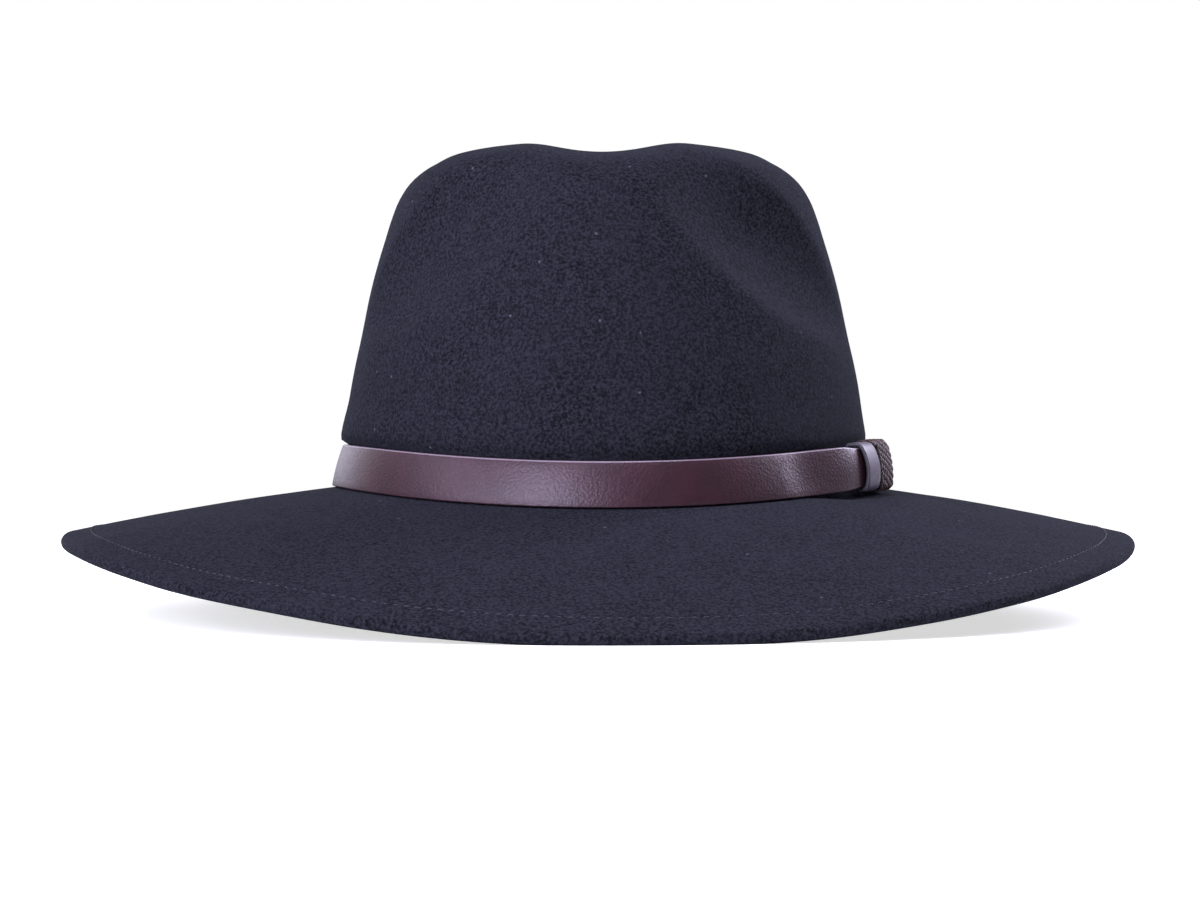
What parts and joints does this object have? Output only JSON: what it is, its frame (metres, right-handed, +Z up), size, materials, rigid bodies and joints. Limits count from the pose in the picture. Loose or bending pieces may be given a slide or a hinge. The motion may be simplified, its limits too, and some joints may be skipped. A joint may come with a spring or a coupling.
{
  "type": "felt fedora hat",
  "caption": "Wide-brimmed dark felt fedora with a pinched, creased crown and a leather strap band closed by a keeper and a wound cord.",
  "frame": {"origin": "middle of the bounding box's base, on the surface that the hat stands on", "axes": "+Z up, the front of the hat towards -Y, the wearer's left towards +X"},
  "size_m": [0.336, 0.3786, 0.1479],
  "materials": {
    "felt": "short-napped fur felt, matt, near black with a blue cast",
    "strap_leather": "smooth burgundy leather with a fine grain and a soft sheen",
    "keeper_leather": "smooth burgundy leather with a fine grain and a soft sheen",
    "cord": "twisted dark brown waxed cord"
  },
  "bodies": {
    "root": {"felt_body": "felt", "leather_band": "strap_leather", "keeper": "keeper_leather", "cord_wrap": "cord"}
  },
  "joints": []
}
